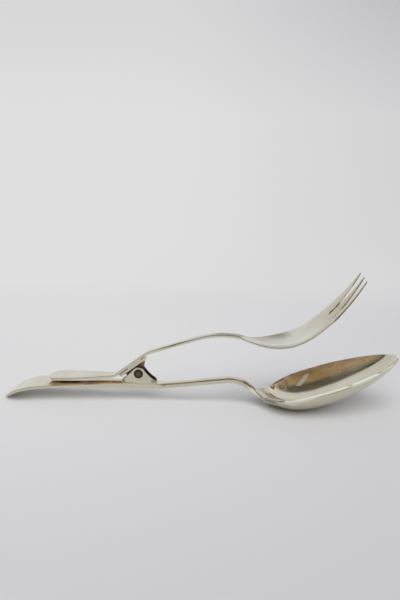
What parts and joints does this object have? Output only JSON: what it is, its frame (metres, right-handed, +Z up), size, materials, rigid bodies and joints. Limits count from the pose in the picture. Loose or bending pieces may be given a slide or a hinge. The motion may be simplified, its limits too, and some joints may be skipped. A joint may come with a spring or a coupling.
{
  "type": "serving tongs",
  "caption": "Scissor serving tongs: a serving spoon and a broad tined fork hinged together by a riveted knuckle, with a thumb lever over the spoon's handle.",
  "frame": {"origin": "bottom centre of the bounding box, on the table plane", "axes": "+X towards the bowl's tip, +Z up, +Y away from the side that shows the rivet's head"},
  "size_m": [0.24, 0.0524, 0.0805],
  "materials": {
    "silver_plate": "worn silver plate, polished, with fine scratches and light tarnish",
    "knuckle_silver": "worn silver plate over solder, slightly dull",
    "dark_rivet": "dark oxidised rivet",
    "hidden_brass": "plain turned brass"
  },
  "bodies": {
    "spoon_half": {"spoon": "silver_plate", "lower_knuckle": "knuckle_silver", "hinge_rivet": "dark_rivet", "spacer_bush": "hidden_brass", "near_washer": "hidden_brass", "far_washer": "hidden_brass"},
    "fork_half": {"fork": "silver_plate", "upper_knuckle": "knuckle_silver"}
  },
  "joints": [
    {"name": "fork_tilt", "type": "hinge", "parent": "spoon_half", "child": "fork_half", "pos_m": [-0.03429, 0, 0.0181], "axis": [0, 1, 0], "range_deg": [-2.8, 19]}
  ]
}
